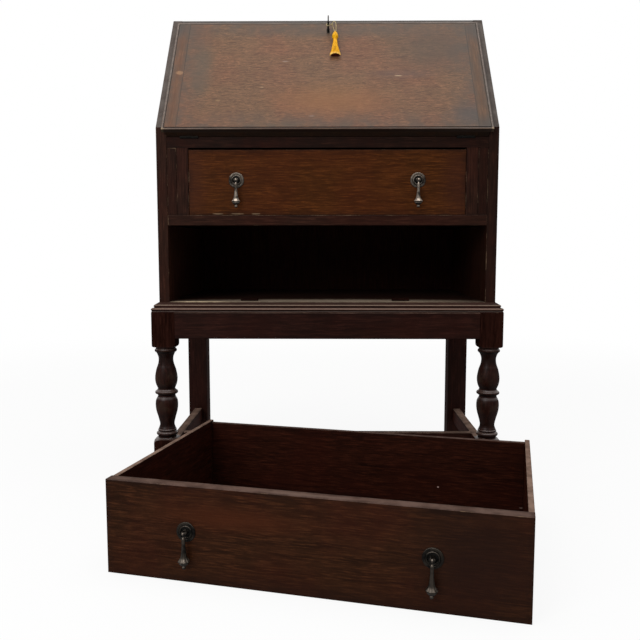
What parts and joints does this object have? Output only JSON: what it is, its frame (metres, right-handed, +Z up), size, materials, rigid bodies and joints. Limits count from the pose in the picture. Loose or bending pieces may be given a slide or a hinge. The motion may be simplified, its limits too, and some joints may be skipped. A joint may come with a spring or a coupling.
{
  "type": "writing bureau",
  "caption": "Slope-front oak writing bureau on a turned stand, with a fall front on lopers, key and tassel, an upper drawer in place and a lower drawer set out on the floor.",
  "frame": {"origin": "on the floor, midway between the four legs", "axes": "+Z up, +X to the right seen from the front, +Y towards the back"},
  "size_m": [0.7676, 1.0113, 1.05],
  "materials": {
    "stained oak": "old waxed stain, worn on the edges",
    "inside wood": "unpolished",
    "aged brass": "tarnished",
    "steel": "dull",
    "cord": "twisted",
    "silk": "satin"
  },
  "bodies": {
    "bureau": {"side_left": "stained oak", "side_right": "stained oak", "top_board": "stained oak", "back_boards": "inside wood", "case_floor": "stained oak", "mid_rail": "stained oak", "drawer_runners": "inside wood", "top_rail": "stained oak", "writing_bed": "inside wood", "muntins": "stained oak", "loper_guides": "inside wood", "drawer_stops": "inside wood", "stand_moulding": "stained oak", "frieze_front": "stained oak", "frieze_back": "stained oak", "frieze_left": "stained oak", "frieze_right": "stained oak", "leg_front_left": "stained oak", "leg_front_right": "stained oak", "leg_back_left": "stained oak", "leg_back_right": "stained oak", "stretcher_left": "stained oak", "stretcher_right": "stained oak", "stretcher_cross": "stained oak", "nest_boards": "inside wood", "hinge_leaves_fixed": "aged brass", "hinge_pins": "steel", "strike_plate": "aged brass", "case_screws": "steel"},
    "fall_front": {"lid_panel": "stained oak", "lid_cleat_left": "stained oak", "lid_cleat_right": "stained oak", "lid_bead": "stained oak", "hinge_leaves_moving": "aged brass", "lock_case": "steel", "lid_screws": "steel", "escutcheon": "aged brass", "cord_loop": "cord"},
    "key": {"key": "steel"},
    "bolt": {"lock_bolt": "steel"},
    "tassel": {"tassel_cord": "cord", "tassel": "silk"},
    "loper_left": {"loper_left": "stained oak"},
    "loper_right": {"loper_right": "stained oak"},
    "upper_drawer": {"upper_drawer_front": "stained oak", "upper_drawer_sides": "inside wood", "upper_drawer_back": "inside wood", "upper_drawer_bottom": "inside wood", "upper_pull_plates": "aged brass"},
    "upper_drop_left": {"upper_drop_left": "aged brass"},
    "upper_drop_right": {"upper_drop_right": "aged brass"},
    "lower_drawer": {"lower_drawer_front": "stained oak", "lower_drawer_sides": "inside wood", "lower_drawer_back": "inside wood", "lower_drawer_bottom": "inside wood", "lower_pull_plates": "aged brass"},
    "lower_drop_left": {"lower_drop_left": "aged brass"},
    "lower_drop_right": {"lower_drop_right": "aged brass"},
    "nest_drawer_left": {"nest_drawer_left": "inside wood"},
    "nest_drawer_right": {"nest_drawer_right": "inside wood"}
  },
  "joints": [
    {"name": "fall_front_hinge", "type": "hinge", "parent": "bureau", "child": "fall_front", "pos_m": [0, -0.2125, 0.757], "axis": [1, 0, 0], "range_deg": [0, 127]},
    {"name": "key_turn", "type": "hinge", "parent": "fall_front", "child": "key", "pos_m": [0.002, -0.04362, 1.01733], "axis": [0, -0.7982, 0.6023], "range_deg": [0, 180]},
    {"name": "bolt_slide", "type": "slide", "parent": "fall_front", "child": "bolt", "axis": [0, 0.6023, 0.7982], "range_m": [0, 0.012]},
    {"name": "tassel_swing", "type": "hinge", "parent": "fall_front", "child": "tassel", "pos_m": [0.009, -0.05639, 1.02697], "axis": [1, 0, 0], "range_deg": [-90, 0]},
    {"name": "loper_left_slide", "type": "slide", "parent": "bureau", "child": "loper_left", "axis": [0, -1, 0], "range_m": [0, 0.24]},
    {"name": "loper_right_slide", "type": "slide", "parent": "bureau", "child": "loper_right", "axis": [0, -1, 0], "range_m": [0, 0.24]},
    {"name": "upper_drawer_slide", "type": "slide", "parent": "bureau", "child": "upper_drawer", "axis": [0, -1, 0], "range_m": [0, 0.255]},
    {"name": "lower_drawer_lift", "type": "slide", "parent": "bureau", "child": "lower_drawer", "axis": [0, -0.4179, 0.9085], "range_m": [0, 0.4546]},
    {"name": "upper_drop_left_swing", "type": "hinge", "parent": "upper_drawer", "child": "upper_drop_left", "pos_m": [-0.19, -0.223, 0.668], "axis": [1, 0, 0], "range_deg": [-80, 0]},
    {"name": "upper_drop_right_swing", "type": "hinge", "parent": "upper_drawer", "child": "upper_drop_right", "pos_m": [0.19, -0.223, 0.668], "axis": [1, 0, 0], "range_deg": [-80, 0]},
    {"name": "lower_drop_left_swing", "type": "hinge", "parent": "lower_drawer", "child": "lower_drop_left", "pos_m": [-0.22378, -0.66604, 0.083], "axis": [0.9703, -0.2419, 0], "range_deg": [-80, 0]},
    {"name": "lower_drop_right_swing", "type": "hinge", "parent": "lower_drawer", "child": "lower_drop_right", "pos_m": [0.1527, -0.75991, 0.083], "axis": [0.9703, -0.2419, 0], "range_deg": [-80, 0]},
    {"name": "nest_drawer_left_slide", "type": "slide", "parent": "bureau", "child": "nest_drawer_left", "axis": [0, -1, 0], "range_m": [0, 0.14]},
    {"name": "nest_drawer_right_slide", "type": "slide", "parent": "bureau", "child": "nest_drawer_right", "axis": [0, -1, 0], "range_m": [0, 0.14]}
  ],
  "couplings": [
    {"joint": "bolt_slide", "follows": "key_turn", "m_per_rad": 0.0038197},
    {"joint": "tassel_swing", "follows": "fall_front_hinge", "ratio": -0.70866}
  ]
}
